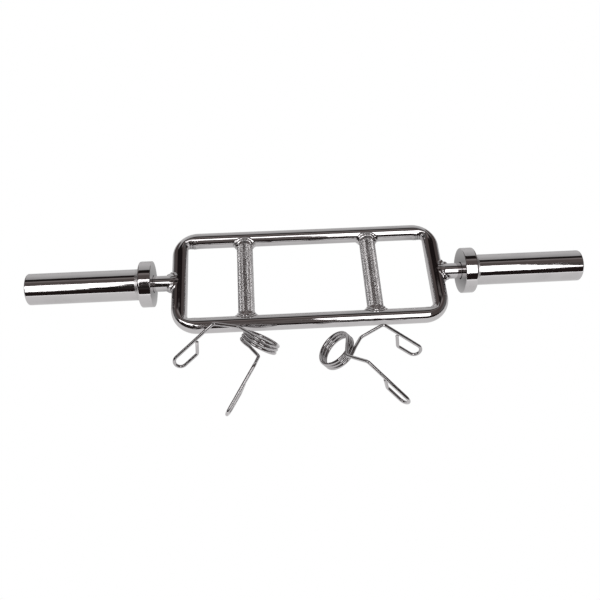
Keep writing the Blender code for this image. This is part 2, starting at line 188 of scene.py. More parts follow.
def bent_path(corners, radii, run_step, arc_step, normal):
    """The centre line of a bent bar: points, normals, binormals, and progress round a bend.

    A corner between unit ways u and v turns by a = angle(u, v) about k = u x v. Its arc of
    radius r starts r tan(a / 2) before the corner, about the centre start + r (k x u).
    Progress goes from 0 to 1 round each bend, and is 0 on the straight runs."""
    corners = np.asarray(corners, float)
    ways = unit(np.diff(corners, axis=0))
    normal = unit(normal - ways[0] * (ways[0] @ normal))
    start = corners[0]
    rows = []
    for number, way in enumerate(ways):
        last = number == len(ways) - 1
        if last:
            end = corners[-1]
        else:
            ahead = ways[number + 1]
            axis = unit(np.cross(way, ahead))
            turn = np.arccos(np.clip(way @ ahead, -1, 1))
            end = corners[number + 1] - way * radii[number] * tan(turn / 2)
        steps = max(1, ceil(np.linalg.norm(end - start) / run_step))
        share = np.linspace(0, 1, steps + 1)[: None if last else -1, None]
        run = start + (end - start) * share
        still = np.zeros_like(share)
        rows.append(np.hstack([run, normal + 0 * run, np.cross(way, normal) + 0 * run, still]))
        if last:
            break
        centre = end + radii[number] * np.cross(axis, way)
        angles = np.linspace(0, turn, max(2, ceil(turn / arc_step)) + 1)
        arc = centre + turned_about(end - centre, axis, angles)
        normals = turned_about(normal, axis, angles)
        binormals = turned_about(np.cross(way, normal), axis, angles)
        rows.append(np.hstack([arc, normals, binormals, (angles / turn)[:, None]])[:-1])
        start, normal = arc[-1], normals[-1]
    table = np.concatenate(rows)
    return table[:, 0:3], table[:, 3:6], table[:, 6:9], table[:, 9]


def tube(points, normals, binormals, radius, around):
    """Rings round a path: point + radius (cos a * normal + sin a * binormal), closed by a
    flat face at each end. The radius is one number, or one for each point of the grid."""
    angles = np.linspace(0, 2 * pi, around, endpoint=False)[None, :, None]
    spokes = normals[:, None] * np.cos(angles) + binormals[:, None] * np.sin(angles)
    radius = np.broadcast_to(radius, (len(points), around))[..., None]
    rings = points[:, None] + radius * spokes
    first = np.broadcast_to(points[:1, None], (1, around, 3))
    final = np.broadcast_to(points[-1:, None], (1, around, 3))
    return np.concatenate([first, rings, final])


print("bent bars ready")

# %% [markdown]
# A finish is a small graph of nodes. Wiring it one node at a time takes many lines and hides
# the formula, so two helpers let it be written as ordinary Python. One method makes any node
# from its type, its settings and what its sockets get. A wrapped socket answers to + - * /,
# each of which adds a Math node, so a height field reads like the formula that it is.

# %% Shader arithmetic
# A Mix node's colour sockets share their names with its other sockets, so they go by number.
MIX_FIRST, MIX_SECOND, MIX_RESULT = 6, 7, 2


class Socket:
    """An output socket in arithmetic: socket + 1, 1 - socket and so on add Math nodes."""

    def __init__(self, graph, link):
        self.graph = graph
        self.link = link

    def maths(self, operation, first, second):
        """A Math node on two values or sockets."""
        return self.graph.node("ShaderNodeMath", {"operation": operation},
                               {0: first, 1: second})

    def __add__(self, other):
        return self.maths("ADD", self, other)

    def __sub__(self, other):
        return self.maths("SUBTRACT", self, other)

    def __mul__(self, other):
        return self.maths("MULTIPLY", self, other)

    def __truediv__(self, other):
        return self.maths("DIVIDE", self, other)

    def __rsub__(self, other):
        return self.maths("SUBTRACT", other, self)

    def __neg__(self):
        return self.maths("MULTIPLY", self, -1)

    def __abs__(self):
        return self.maths("ABSOLUTE", self, 0)

    def at_least(self, low):
        return self.maths("MAXIMUM", self, low)

    def exponent(self):
        return self.maths("EXPONENT", self, 0)

    __radd__ = __add__
    __rmul__ = __mul__


class Graph:
    """The nodes of a material or world, emptied and ready to be written."""

    def __init__(self, owner):
        owner.use_nodes = True
        self.tree = owner.node_tree
        self.tree.nodes.clear()

    def node(self, kind, settings=None, sockets=None, output=0):
        """A new node. Its settings are set first, and then its sockets get values or links."""
        made = self.tree.nodes.new(kind)
        for name, value in (settings or {}).items():
            if name == "stops":
                self.set_stops(made.color_ramp, value)
            else:
                setattr(made, name, value)
        for name, value in (sockets or {}).items():
            if isinstance(value, Socket):
                self.tree.links.new(value.link, made.inputs[name])
            else:
                made.inputs[name].default_value = value
        return Socket(self, made.outputs[output]) if made.outputs else made

    @staticmethod
    def set_stops(ramp, stops):
        """Stops are (position, colour), and a ramp starts with two of its own."""
        while len(ramp.elements) < len(stops):
            ramp.elements.new(0.5)
        for element, (position, colour) in zip(ramp.elements, stops):
            element.position = position
            element.color = (*colour, 1.0)

    def noise(self, place, scale, detail=2.0, roughness=0.5):
        """Noise from 0 to 1. Its scale is about how many lumps fit in a unit of place."""
        return self.node("ShaderNodeTexNoise", {},
                         {"Vector": place, "Scale": scale, "Detail": detail,
                          "Roughness": roughness})

    def between(self, value, low, high, start=0.0, end=1.0):
        """Maps low..high of a value to start..end along a smooth step, and holds outside."""
        return self.node("ShaderNodeMapRange", {"interpolation_type": "SMOOTHSTEP"},
                         {"Value": value, "From Min": low, "From Max": high,
                          "To Min": start, "To Max": end})

    def mix(self, factor, first, second):
        """From the first colour to the second. Each is three levels, or a wrapped socket."""
        first, second = (end if isinstance(end, Socket) else (*end, 1.0)
                         for end in (first, second))
        return self.node("ShaderNodeMix", {"data_type": "RGBA"},
                         {"Factor": factor, MIX_FIRST: first, MIX_SECOND: second},
                         output=MIX_RESULT)

    def axis(self, place, letter):
        """One coordinate of a place."""
        return self.node("ShaderNodeSeparateXYZ", {}, {"Vector": place}, output=letter)

    def bump(self, height):
        """The normal of a surface that is raised by this height in metres."""
        return self.node("ShaderNodeBump", {}, {"Strength": 1.0, "Distance": 1.0,
                                                "Height": height})

    def close(self, kind, sockets, output="ShaderNodeOutputMaterial"):
        """Ends the graph with a shader and the output that it feeds."""
        self.node(output, {}, {"Surface": self.node(kind, {}, sockets)})


def new_material(name):
    """A material, its empty graph, and the place on the piece that its patterns read."""
    material = bpy.data.materials.new(name)
    graph = Graph(material)
    return material, graph, graph.node("ShaderNodeTexCoord", output="Object")


def grey(level):
    """A colour with three equal channels."""
    return (level, level, level)


def scaled(colour, share):
    """A colour made darker or lighter: each channel times the share."""
    return tuple(share * channel for channel in colour)


print("shader arithmetic ready")

# %% [markdown]
# Decorative chrome is a mirror with a memory: it shows the polish under it. Up close there is
# a slow waviness left by the belt, a finer orange peel, and hazy patches where the bar has
# been handled. All of it could come from a painted image, but noise needs no unwrapping and
# never repeats. The waviness and peel are heights in metres fed to one Bump node, so they
# stay true at any size. Metal this clean gets all of its picture from the room, so its base
# colour is only how much of the room it gives back. A polishing wheel can't reach into the
# corner between sleeve and collar, so there the sleeve keeps a narrow satin band.

# %% Chrome finishes
PLATE = (0.605, 0.585, 0.590)
KNURL_PLATE = (0.800, 0.780, 0.786)
SPRING_PLATE = (0.500, 0.483, 0.488)
BRIGHT = {"roughness": 0.040, "haze": 0.05, "waves": 0.00014, "peel": 0.000010}
WAVE_SCALE, WAVE_DETAIL = 46, 1.0
PEEL_SCALE, PEEL_DETAIL = 260, 2.0
PATCH_SCALE, PATCH_DETAIL, PATCH_ROUGHNESS = 31, 4.0, 0.62
PATCH_FROM, PATCH_TO = 0.42, 0.72        # levels of the noise between which a patch sets in
PATCH_DARKER = 0.93
SATIN = 0.30                   # roughness that the unpolished corner adds
SATIN_WIDTH = 0.0064           # out from the collar's face
SATIN_EDGE = 0.0010


def chrome(name, colour, roughness, haze, waves, peel, wave_scale=WAVE_SCALE,
           peel_scale=PEEL_SCALE, satin_to=None):
    """A plated finish: roughness grows by haze in patches; waves and peel are heights. With
    satin_to, it is satin up to that distance from the bar's middle."""
    material, graph, place = new_material(name)
    slow = graph.noise(place, wave_scale, WAVE_DETAIL)
    fine = graph.noise(place, peel_scale, PEEL_DETAIL)
    patches = graph.between(graph.noise(place, PATCH_SCALE, PATCH_DETAIL, PATCH_ROUGHNESS),
                            PATCH_FROM, PATCH_TO)
    rough = patches * haze + roughness
    if satin_to:
        aside = abs(graph.axis(place, "X"))
        rough = rough + graph.between(aside, satin_to - SATIN_EDGE, satin_to, SATIN, 0.0)
    graph.close("ShaderNodeBsdfPrincipled",
                {"Base Color": graph.mix(patches, colour, scaled(colour, PATCH_DARKER)),
                 "Metallic": 1.0, "Roughness": rough,
                 "Normal": graph.bump(slow * waves + fine * peel)})
    return material


CHROME = chrome("bright_chrome", PLATE, **BRIGHT)
SLEEVE_CHROME = chrome("sleeve_chrome", PLATE, **BRIGHT,
                       satin_to=turned_extent("right_collar")[1] + SATIN_WIDTH)
KNURL = chrome("knurled_chrome_plate", KNURL_PLATE, roughness=0.20, haze=0.16,
               waves=0.00006, peel=0.00006, peel_scale=700)
WELD = chrome("plated_weld_bead", PLATE, roughness=0.060, haze=0.06,
              waves=0.00020, peel=0.00003, wave_scale=170, peel_scale=700)
WIRE = chrome("plated_spring_wire", SPRING_PLATE, roughness=0.030, haze=0.03,
              waves=0.00003, peel=0.000004, wave_scale=90)
print("five chrome finishes")

# %% [markdown]
# The running parts inside the sleeves are never polished. Their faces keep the fine rings
# of the lathe. Real grooves would be wasted on parts that stay hidden, so a wave texture that
# circles the bar's own line gives them: distance from that line sets the phase. The end caps
# are moulded plastic with a fine grain.

# %% Machined steel, bronze and plastic
RING_PHASE = 2600              # radians of the ring pattern in a metre of radius
WAVE_PHASE = 20                # radians in a unit that a wave texture has at scale 1
RING_WANDER = 0.4
RING_HEIGHT = 0.000004
STAIN_SCALE, STAIN_DETAIL = 160, 3.0
STAIN_FROM, STAIN_TO = 0.40, 0.70
STAIN_DARKER = 0.75
STAIN_ROUGHNESS = 0.15
GRAIN_SCALE, GRAIN_DETAIL = 1900, 2.0
GRAIN_HEIGHT = 0.00003
GRAIN_ROUGHNESS = 0.2
BLOOM_SCALE, BLOOM_DETAIL = 60, 3.0
BLOOM_LIGHTER = 1.7


def machined(name, colour, roughness):
    """Bare turned metal: rings of constant distance from the bar's line, and faint stains."""
    material, graph, place = new_material(name)
    centred = graph.node("ShaderNodeMapping", {},
                         {"Vector": place, "Location": (0, -BAR_Y, -BAR_HEIGHT)})
    rings = graph.node("ShaderNodeTexWave", {"wave_type": "RINGS", "rings_direction": "X"},
                       {"Vector": centred, "Scale": RING_PHASE / WAVE_PHASE,
                        "Distortion": RING_WANDER, "Detail": 1.0}, output=1)
    stain = graph.noise(place, STAIN_SCALE, STAIN_DETAIL)
    graph.close("ShaderNodeBsdfPrincipled",
                {"Base Color": graph.mix(graph.between(stain, STAIN_FROM, STAIN_TO), colour,
                                         scaled(colour, STAIN_DARKER)),
                 "Metallic": 1.0, "Roughness": stain * STAIN_ROUGHNESS + roughness,
                 "Normal": graph.bump(rings * RING_HEIGHT)})
    return material


def moulded(name, colour, roughness):
    """Moulded plastic: a fine even grain and a slight bloom."""
    material, graph, place = new_material(name)
    grain = graph.noise(place, GRAIN_SCALE, GRAIN_DETAIL)
    bloom = graph.noise(place, BLOOM_SCALE, BLOOM_DETAIL)
    graph.close("ShaderNodeBsdfPrincipled",
                {"Base Color": graph.mix(bloom, colour, scaled(colour, BLOOM_LIGHTER)),
                 "Roughness": grain * GRAIN_ROUGHNESS + roughness,
                 "Normal": graph.bump(grain * GRAIN_HEIGHT)})
    return material


STEEL = machined("turned_steel", (0.46, 0.46, 0.47), roughness=0.28)
BRONZE = machined("bearing_bronze", (0.55, 0.37, 0.19), roughness=0.30)
PLASTIC = moulded("black_moulding", (0.017, 0.017, 0.018), roughness=0.42)
print("steel, bronze and plastic")

# %% [markdown]
# The two halves of the frame are bent from round bar, tightly enough to crush it. On the
# inside of a bend the two straight runs carry on into the corner, as bars cut to a mitre do,
# so the window in the frame has nearly square corners. The crushed metal has to go
# somewhere: it stands up in a lump beside the corner, with a few folds across it. This could
# be sculpted by hand. As a formula it has only three numbers a bend, and the bar stays a
# closed tube of even quads. All of it follows from the place along the path and the angle
# round the section, which is measured from the inside of the bend.

# %% Frame rails
RAIL_SIDES = 96
RAIL_STEP = 0.0020
RAIL_ARC_STEP = radians(1.0)
BENDS = {  # how far each bend is crushed in, its lump's height and its folds' height
    ("front_rail", "left"): (0.0054, 0.0003, 0.00014),
    ("front_rail", "right"): (0.0029, 0.0003, 0.00014),
    ("rear_rail", "left"): (0.0066, 0.0008, 0.00022),
    ("rear_rail", "right"): (0.0062, 0.0006, 0.00026)}
CRUSH_SHARPNESS = 6
CRUSH_ENDS, CRUSH_FULL = -0.25, 0.60     # cosines round the section, from the inside
LUMP_PLACE = 0.0130            # along the path, from the middle of the bend
LUMP_LENGTH = 0.0065
LUMP_TURN = radians(22)        # round the section, from the inside
LUMP_NARROWNESS = 9            # round the section
FOLD_SPACING = 0.0054
FOLD_WANDER = 2                # radians that a fold's place sways by round the section


def crushed(progress, angles):
    """How far the inside of a bend lies below the round bar.

    At b from the nearer end of a bend of radius r, and a round the section, the straight
    bar's surface is at the p where (A + p c)^2 + (p s)^2 = R^2, with A = r (1 - cos b),
    c = cos a cos b and s = sin a. The top and the outside keep their round."""
    bend = (0.5 - np.abs(progress - 0.5))[:, None] * pi / 2
    moved = FRAME_CORNER_RADIUS * (1 - np.cos(bend))
    c, s = np.cos(angles) * np.cos(bend), np.sin(angles)
    square = c ** 2 + s ** 2
    mitred = (np.sqrt((moved * c) ** 2 - square * (moved ** 2 - BAR_RADIUS ** 2))
              - moved * c) / square
    inside = np.clip((np.cos(angles) - CRUSH_ENDS) / (CRUSH_FULL - CRUSH_ENDS), 0, 1)
    return np.clip(BAR_RADIUS - mitred, 0, None) * inside ** 2 * (3 - 2 * inside)


def rail_radius(points, progress, node):
    """Radius of a rail all over: R - crush + lump + folds, with its two bends' own sizes.

    The crush d is held under a limit m along d / (1 + (d/m)^n)^(1/n). The lump is a bell
    over the path and the section, and the folds are a cosine along the path under a wider
    bell."""
    angles = np.linspace(0, 2 * pi, RAIL_SIDES, endpoint=False)[None]
    travelled = np.concatenate([[0], np.cumsum(np.linalg.norm(np.diff(points, axis=0),
                                                              axis=1))])
    radius = np.full((len(points), RAIL_SIDES), BAR_RADIUS)
    for label, side in SIDES.items():
        limit, lump, fold = BENDS[node, label]
        here = points[:, 0] * side > 0
        middle = travelled[here][np.argmin(np.abs(progress[here] - 0.5))]
        along = np.where(here, (middle - travelled) * side, 1.0)[:, None]
        depth = crushed(np.where(here, progress, 0.0), angles)
        depth = depth / (1 + (depth / limit) ** CRUSH_SHARPNESS) ** (1 / CRUSH_SHARPNESS)
        for turn in (LUMP_TURN, 2 * pi - LUMP_TURN):
            around = (np.cos(angles - turn) - 1) * LUMP_NARROWNESS
            radius = radius + lump * np.exp(around - ((along - LUMP_PLACE) / LUMP_LENGTH) ** 2)
        wide = np.exp(-((along - LUMP_PLACE / 2) / (2 * LUMP_LENGTH)) ** 2)
        inside = np.clip(np.cos(angles), 0, 1) ** 2
        wave = np.cos(2 * pi * along / FOLD_SPACING + FOLD_WANDER * np.cos(3 * angles))
        radius = radius - depth + fold * wide * inside * wave
    return radius


def make_rail(node, side):
    """One bent half, from the middle of a short side round to the middle of the other."""
    across = side * FRAME_HALF_WIDTH
    corners = [(-FRAME_HALF_LENGTH, 0, 0), (-FRAME_HALF_LENGTH, across, 0),
               (FRAME_HALF_LENGTH, across, 0), (FRAME_HALF_LENGTH, 0, 0)]
    points, normals, binormals, progress = bent_path(
        corners, [FRAME_CORNER_RADIUS] * 2, RAIL_STEP, RAIL_ARC_STEP, np.array([1.0, 0, 0]))
    grid = tube(points, normals, binormals, rail_radius(points, progress, node), RAIL_SIDES)
    return stand_in(make_piece(f"{node}_surface", in_frame(grid), CHROME), node)


for node, side in (("front_rail", -1), ("rear_rail", 1)):
    rail = make_rail(node, side)
    print(f"{rail.name}: {len(rail.data.polygons)} faces")

# %% [markdown]
# The grips are knurled: two sets of fine V grooves wind round the bar in opposite hands and
# leave rows of small diamonds. Real geometry is worth its faces here, because the knurl is
# what makes the grips read as matt against the mirror bars. Four grid steps to a diamond put
# a vertex on each crest and in each groove. Towards the ends the knurling wheel runs out.
# There the bar was ground to a dome before it was welded, so that the rail runs past it.

# %% Knurled grips
DIAMONDS_ROUND = 54
DIAMOND_STEPS = 4
DIAMOND_STRETCH = 1.0          # length of a diamond over its width
KNURL_DEPTH = 0.00045
KNURL_FROM_RAIL = 0.0010       # plain bar left beside each rail
KNURL_FADE = 0.0030
PLAIN_CUT = 0.8                # share of the knurl's depth that the plain ends are turned down
GRIP_HALF = FRAME_HALF_WIDTH - GRIP_END_SETBACK
DOME_START = 0.0125            # from the rail's centre line, where the grip starts to round
DOME_LENGTH = 0.0070
DOME_DROP = 0.0037


def dome_radius(from_rail):
    """The grip's radius near its end: R - drop (1 - sqrt(1 - t^2)), t from 0 to 1."""
    share = np.clip((DOME_START - from_rail) / DOME_LENGTH, 0, 1)
    return GRIP_RADIUS - DOME_DROP * (1 - np.sqrt(1 - share ** 2))


def groove(phase):
    """A V groove: 0 on the crest at whole phases, 1 at the bottom half way between."""
    return 1 - np.abs(2 * (phase - np.floor(phase)) - 1)


def make_grip(node, along):
    """A knurled bar across the frame: its radius drops by the deeper of the two grooves."""
    pitch = 2 * pi * GRIP_RADIUS / DIAMONDS_ROUND
    length = pitch * DIAMOND_STRETCH
    around = DIAMONDS_ROUND * DIAMOND_STEPS
    rows = round(2 * GRIP_HALF / length * DIAMOND_STEPS)
    across = (np.arange(rows + 1) - rows / 2) * length / DIAMOND_STEPS
    across = np.clip(across, -GRIP_HALF, GRIP_HALF)[:, None]
    turns = np.arange(around)[None] / around
    phase = turns * DIAMONDS_ROUND
    deepest = np.maximum(groove(phase + across / length), groove(phase - across / length))
    knurl_end = FRAME_HALF_WIDTH - BAR_RADIUS - KNURL_FROM_RAIL
    fade = np.clip((knurl_end - np.abs(across)) / KNURL_FADE, 0, 1)
    cut = KNURL_DEPTH * (deepest * fade + (1 - fade) * PLAIN_CUT)
    angles = 2 * pi * turns
    radius = dome_radius(FRAME_HALF_WIDTH - np.abs(across)) - cut
    grid = np.stack([along + radius * np.sin(angles), across + 0 * radius,
                     radius * np.cos(angles)], axis=-1)
    middle = np.broadcast_to(np.array([along, 0.0, 0.0]), grid[:1].shape)
    low = middle + np.array([0, across[0, 0], 0])
    high = middle + np.array([0, across[-1, 0], 0])
    grid = np.concatenate([low, grid, high])
    return stand_in(make_piece(f"{node}_surface", in_frame(grid), KNURL), node)


for label, side in SIDES.items():
    grip = make_grip(f"{label}_grip", side * GRIP_FROM_CENTRE)
    print(f"{grip.name}: {len(grip.data.polygons)} faces")

# %% [markdown]
# A weld bead fills the corner where a round stub meets a round bar. Its two edges, or toes,
# lie on the stub and on the bar, and between them the surface is a curve over the corner.
# Walking round the stub, the corner rides up and down over the bar like a saddle, and the
# bead is thick at the sides, where the corner is square, and thin where it is open. A plain
# torus would stand off the bars in places, so each bead is worked out from the two surfaces
# that it joins. The welder's hand shows in three ways: the bead was laid in two passes, one
# against each bar, its width and crown wander, and it carries crescent ripples. Then the
# whole is plated.

# %% Weld beads
WELD_COLUMNS = 240
WELD_ROWS = 26
SADDLE_LIMIT = 0.89            # furthest round the bar, as a sine, that a corner goes
SADDLE_SHARPNESS = 8
TOE_SINK = 0.00008             # toes end just under the surfaces that they lie on
RIPPLE_SPACING = 0.0044
RIPPLE_HEIGHT = 0.00020
RIPPLE_BOW = 5.0               # radians that a ripple lags at the toes
RIPPLE_WANDER = 2.0            # radians
CROWN_UNEVEN = 1.3             # unevenness of the crown over that of the width
CROWN_FULLNESS = 0.8           # power of the sine across the bead; less than 1 is fuller
PASS_DIP = 0.42                # how much lower the bead is between its two passes
PASS_WIDTH = 0.13              # of that dip, as a share of the bead
ROOT_DEPTH = 0.45              # how far the bead's root lies from the corner to the bar's core
GRIP_SEED, SPINDLE_SEED = 11, 41
# A bead's reach and crown at the sides, the same on top, its reach on the stub over that on
# the bar, and its unevenness.
BEADS = {
    "grip": (0.0058, 0.0029, 0.0034, 0.0010, 1.0, 0.24),
    "spindle": (0.0062, 0.0032, 0.0052, 0.0016, 1.45, 0.38)}


def wander(angles, seed, harmonics=(2, 3, 5, 7)):
    """A smooth periodic wander between about -1 and 1: a sum of sines with seeded phases."""
    random = np.random.default_rng(seed)
    phases = random.uniform(0, 2 * pi, len(harmonics))
    weights = random.uniform(0.5, 1.0, len(harmonics))
    waves = weights[:, None] * np.sin(np.outer(harmonics, angles) + phases[:, None])
    return waves.sum(0) / weights.sum()


def weld_grid(kind, stub_radius, stub_surface, seed):
    """Points (across, along, out) of a bead round a stub that stands out from a bar.

    At angle t round the stub, c = R cos t / r is held under a limit L along the smooth
    c / (1 + |c/L|^n)^(1/n), and the corner is at asin(c) round the bar and R sin t along
    it. Reach and crown go from their values at the sides to those on top with cos^2 t. The
    face is (1-s)^2 toe + 2s(1-s) corner + s^2 toe. It is raised by crown sin(pi s)^f, where
    f is the fullness, less a dip in the middle."""
    side_reach, side_crown, top_reach, top_crown, on_stub, uneven = BEADS[kind]
    angles = np.linspace(0, 2 * pi, WELD_COLUMNS, endpoint=False)
    on_top = np.cos(angles) ** 2
    reach = side_reach + (top_reach - side_reach) * on_top
    width = reach * (1 + uneven * wander(angles, seed))
    crown = (side_crown + (top_crown - side_crown) * on_top) * (
        1 + CROWN_UNEVEN * uneven * wander(angles, seed + 1))
    ratio = stub_radius * np.cos(angles) / BAR_RADIUS
    ratio = ratio / (1 + np.abs(ratio / SADDLE_LIMIT) ** SADDLE_SHARPNESS) ** (
        1 / SADDLE_SHARPNESS)
    round_bar = np.arcsin(ratio)
    height = BAR_RADIUS * np.cos(round_bar)
    spoke = np.stack([np.cos(angles), np.sin(angles), 0 * angles], axis=-1)
    out = np.array([0.0, 0.0, 1.0])
    corner = np.stack([BAR_RADIUS * ratio, stub_surface(height) * np.sin(angles), height],
                      axis=-1)
    toe_height = height + width * on_stub
    stub_toe = ((stub_surface(toe_height) - TOE_SINK)[:, None] * spoke
                + toe_height[:, None] * out)
    toe_turn = round_bar + width * np.cos(angles) / BAR_RADIUS
    toe_radius = BAR_RADIUS - TOE_SINK
    bar_toe = np.stack([toe_radius * np.sin(toe_turn),
                        (stub_radius + width) * np.sin(angles),
                        toe_radius * np.cos(toe_turn)], axis=-1)
    core = (1 - ROOT_DEPTH) * corner + ROOT_DEPTH * np.array([0.0, 0.0, BAR_RADIUS / 2])
    share = np.linspace(0, 1, WELD_ROWS)[:, None, None]
    face = ((1 - share) ** 2 * stub_toe + 2 * share * (1 - share) * corner
            + share ** 2 * bar_toe)
    ripples = round(2 * pi * stub_radius / RIPPLE_SPACING)
    crescent = np.sin(ripples * angles[None, :, None] + RIPPLE_BOW * (share - 0.5) ** 2
                      + RIPPLE_WANDER * wander(angles, seed + 2)[None, :, None])
    lift = np.sin(pi * share) ** CROWN_FULLNESS * (
        1 - PASS_DIP * np.exp(-((share - 0.5) / PASS_WIDTH) ** 2))
    raised = (crown[None, :, None] + RIPPLE_HEIGHT * crescent) * lift
    face = face + raised * unit(face - core)
    return np.concatenate([face, core[None]])


def plain_stub(height):
    """A spindle has the bar's own radius all along."""
    return BAR_RADIUS + 0 * height


for label, side in SIDES.items():
    for end_label, end in (("front", -1), ("rear", 1)):
        node = f"{end_label}_{label}_grip_weld"
        seed = GRIP_SEED + 7 * side + 3 * end
        across, along, out = np.moveaxis(
            weld_grid("grip", GRIP_RADIUS, dome_radius, seed), -1, 0)
        grid = np.stack([side * GRIP_FROM_CENTRE + along, end * (FRAME_HALF_WIDTH - out),
                         across], axis=-1)
        weld = stand_in(make_piece(f"{node}_bead", in_frame(grid), WELD, ring=True), node)
    node = f"{label}_spindle_weld"
    across, along, out = np.moveaxis(
        weld_grid("spindle", BAR_RADIUS, plain_stub, SPINDLE_SEED + 5 * side), -1, 0)
    grid = np.stack([side * (FRAME_HALF_LENGTH + out), along, across], axis=-1)
    weld = stand_in(make_piece(f"{node}_bead", in_frame(grid), WELD, ring=True), node)
print(f"six weld beads of {len(weld.data.polygons)} faces")

# %% [markdown]
# Collars, sleeves, spindles and what runs inside them are turned on a lathe: an outline goes
# once round the bar's line. The Screw modifier could turn it too, but a grid of points can
# also have some of its rings pushed out, which makes the bolt's hexagon socket. Real edges
# are never sharp, so each corner of an outline has its own small rounding. A few extra points
# beside each rounding keep the flat faces flat when the mesh is shaded smooth.

# %% Turned pieces
TURNED_SIDES = 128
OUTLINE_ARC_STEP = radians(15)
HOLDING_DISTANCE = 0.00012     # extra point beside a rounding, which keeps a flat face flat


def outline(corners, roundings, closed):
    """An outline of (radius, outward place) with rounded corners and holding points."""
    corners = np.array([(radius, place, 0.0) for radius, place in corners])
    roundings = np.asarray(roundings, float)
    if closed:
        middle = (corners[0] + corners[-1]) / 2
        corners = np.concatenate([[middle], corners, [middle]])
    else:
        roundings = roundings[1:-1]
    points, start = [corners[:1]], corners[0]
    ways = unit(np.diff(corners, axis=0))
    for corner, way, ahead, rounding in zip(corners[1:], ways, ways[1:], roundings):
        turn = np.arccos(np.clip(way @ ahead, -1, 1))
        axis = unit(np.cross(way, ahead))
        begin = corner - way * rounding * tan(turn / 2)
        centre = begin + rounding * np.cross(axis, way)
        angles = np.linspace(0, turn, ceil(turn / OUTLINE_ARC_STEP) + 1)
        arc = centre + turned_about(begin - centre, axis, angles)
        points += [[begin - way * HOLDING_DISTANCE], arc, [arc[-1] + ahead * HOLDING_DISTANCE]]
    if not closed:
        points.append(corners[-1:])
    return np.concatenate(points)[:, :2]


def turned_grid(line, side, around=TURNED_SIDES):
    """Radius r at outward place s goes to (side s, y + r sin t, z + r cos t), t = 0..2 pi."""
    angles = np.linspace(0, 2 * pi, around, endpoint=False)[None]
    radius, place = line[:, :1], line[:, 1:]
    return np.stack([side * place + 0 * angles, BAR_Y + radius * np.sin(angles),
                     BAR_HEIGHT + radius * np.cos(angles)], axis=-1)


def make_ring(node, side, bore, start, end, radius, edge, bore_edge, finish):
    """A plain ring with rounded outer and inner edges."""
    line = outline([(bore, end), (radius, end), (radius, start), (bore, start)],
                   [bore_edge, edge, edge, bore_edge], closed=True)
    return stand_in(make_piece(f"{node}_turned", turned_grid(line, side), finish, ring=True),
                    node)


print("lathe ready")

# %% [markdown]
# The collar is the fixed stop that plates rest against. It is a thick disc with a counterbore
# that the sleeve sits in, and a hole in its inner face that leaves a dark running gap round
# the spindle. The sleeve is a plain tube with a rounded mouth.

# %% Collars and sleeves
COLLAR_OUTER_EDGE = 0.0030     # on the side that plates rest against
COLLAR_INNER_EDGE = 0.0013
COLLAR_WEB = 0.0086            # wall that closes the collar towards the frame
COLLAR_HOLE = 0.0142
HOLE_EDGE = 0.0004
SLEEVE_WALL = 0.0040
SLEEVE_EDGE = 0.0020
SEAT_GAP = 0.0003
HIDDEN_EDGE = 0.0003

for label, side in SIDES.items():
    start, end, radius = turned_extent(f"{label}_collar")
    sleeve_start, sleeve_end, sleeve_radius = turned_extent(f"{label}_sleeve")
    seat = start + COLLAR_WEB
    pocket = sleeve_radius + SEAT_GAP / 3
    line = outline([(pocket, end), (radius, end), (radius, start), (COLLAR_HOLE, start),
                    (COLLAR_HOLE, seat), (pocket, seat)],
                   [HIDDEN_EDGE, COLLAR_OUTER_EDGE, COLLAR_INNER_EDGE, HOLE_EDGE,
                    HIDDEN_EDGE, HIDDEN_EDGE], closed=True)
    collar = stand_in(make_piece(f"{label}_collar_turned", turned_grid(line, side), CHROME,
                                 ring=True), f"{label}_collar")
    sleeve = make_ring(f"{label}_sleeve", side, sleeve_radius - SLEEVE_WALL, sleeve_start,
                       sleeve_end, sleeve_radius, SLEEVE_EDGE, SLEEVE_EDGE / 2,
                       SLEEVE_CHROME)
    print(f"{collar.name} and {sleeve.name}: {radius * 2000:.0f} and "
          f"{sleeve_radius * 2000:.0f} mm across")

# %% [markdown]
# The spindle is the fixed axle. Only the stub between frame and collar shows, bright like the
# bars; beyond the shoulder it is turned down to a journal that the bushes run on. Washers,
# bushes and bolt are plain turned pieces, and the bolt's head has a hexagon socket.

# %% Spindles and running parts
JOURNAL_RADIUS = 0.0100
BOLT_HOLE = 0.0053
BOLT_RADIUS = 0.0050
SPINDLE_EDGE = 0.0010
BOLT_EDGE = 0.0006
BOLT_SIDES = 96
HOLE_END_ROOM = 0.003          # that the bolt's hole goes past its tip
SOCKET_FLATS = 0.0080          # across the flats of the bolt's socket
SOCKET_DEPTH = 0.0032
JOURNAL_GAP = 0.0003


def make_spindle(label, side):
    """A turned axle, closed at the frame end, with the bolt's hole in the other."""
    node = f"{label}_spindle"
    end = turned_extent(node)[1]
    shoulder = turned_extent(f"{label}_sleeve")[0]
    hole_end = turned_extent(f"{label}_end_bolt")[0] - HOLE_END_ROOM
    line = outline([(0, hole_end), (BOLT_HOLE, hole_end), (BOLT_HOLE, end),
                    (JOURNAL_RADIUS, end), (JOURNAL_RADIUS, shoulder),
                    (BAR_RADIUS, shoulder), (BAR_RADIUS, FRAME_HALF_LENGTH),
                    (0, FRAME_HALF_LENGTH)],
                   [0, HIDDEN_EDGE, HIDDEN_EDGE, SPINDLE_EDGE, HIDDEN_EDGE, SPINDLE_EDGE,
                    HIDDEN_EDGE, 0], closed=False)
    return stand_in(make_piece(f"{node}_turned", turned_grid(line, side), CHROME), node)


